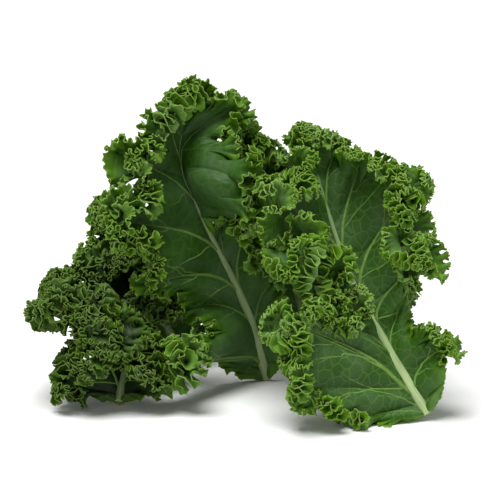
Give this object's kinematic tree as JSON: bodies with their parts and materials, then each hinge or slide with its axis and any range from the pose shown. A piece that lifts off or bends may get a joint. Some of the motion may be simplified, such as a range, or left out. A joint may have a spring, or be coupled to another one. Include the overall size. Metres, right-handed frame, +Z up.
{
  "type": "bunch of curly kale",
  "caption": "Bunch of cut curly kale leaves leaning together in a heap, each with a pale midrib, a smooth dark blade and a deep belt of tight curls round the margin.",
  "frame": {"origin": "middle of the heap's footprint, on the surface it rests on", "axes": "+X along the heap's length, towards the large leaf with the straight pale midrib; +Y away from the side on which the leaves show their upper faces; +Z up"},
  "size_m": [0.3262, 0.217, 0.2488],
  "materials": {
    "leaf_right": "fresh leaf with a thin wax bloom, satin",
    "leaf_centre": "fresh leaf with a thin wax bloom, satin",
    "leaf_left": "fresh leaf with a thin wax bloom, satin",
    "leaf_back_left": "fresh leaf with a thin wax bloom, satin",
    "leaf_back_centre": "fresh leaf with a thin wax bloom, satin",
    "leaf_back_right": "fresh leaf with a thin wax bloom, satin"
  },
  "bodies": {
    "root": {"leaf_right": "leaf_right", "leaf_centre": "leaf_centre", "leaf_left": "leaf_left", "leaf_back_left": "leaf_back_left", "leaf_back_centre": "leaf_back_centre", "leaf_back_right": "leaf_back_right"}
  },
  "joints": []
}
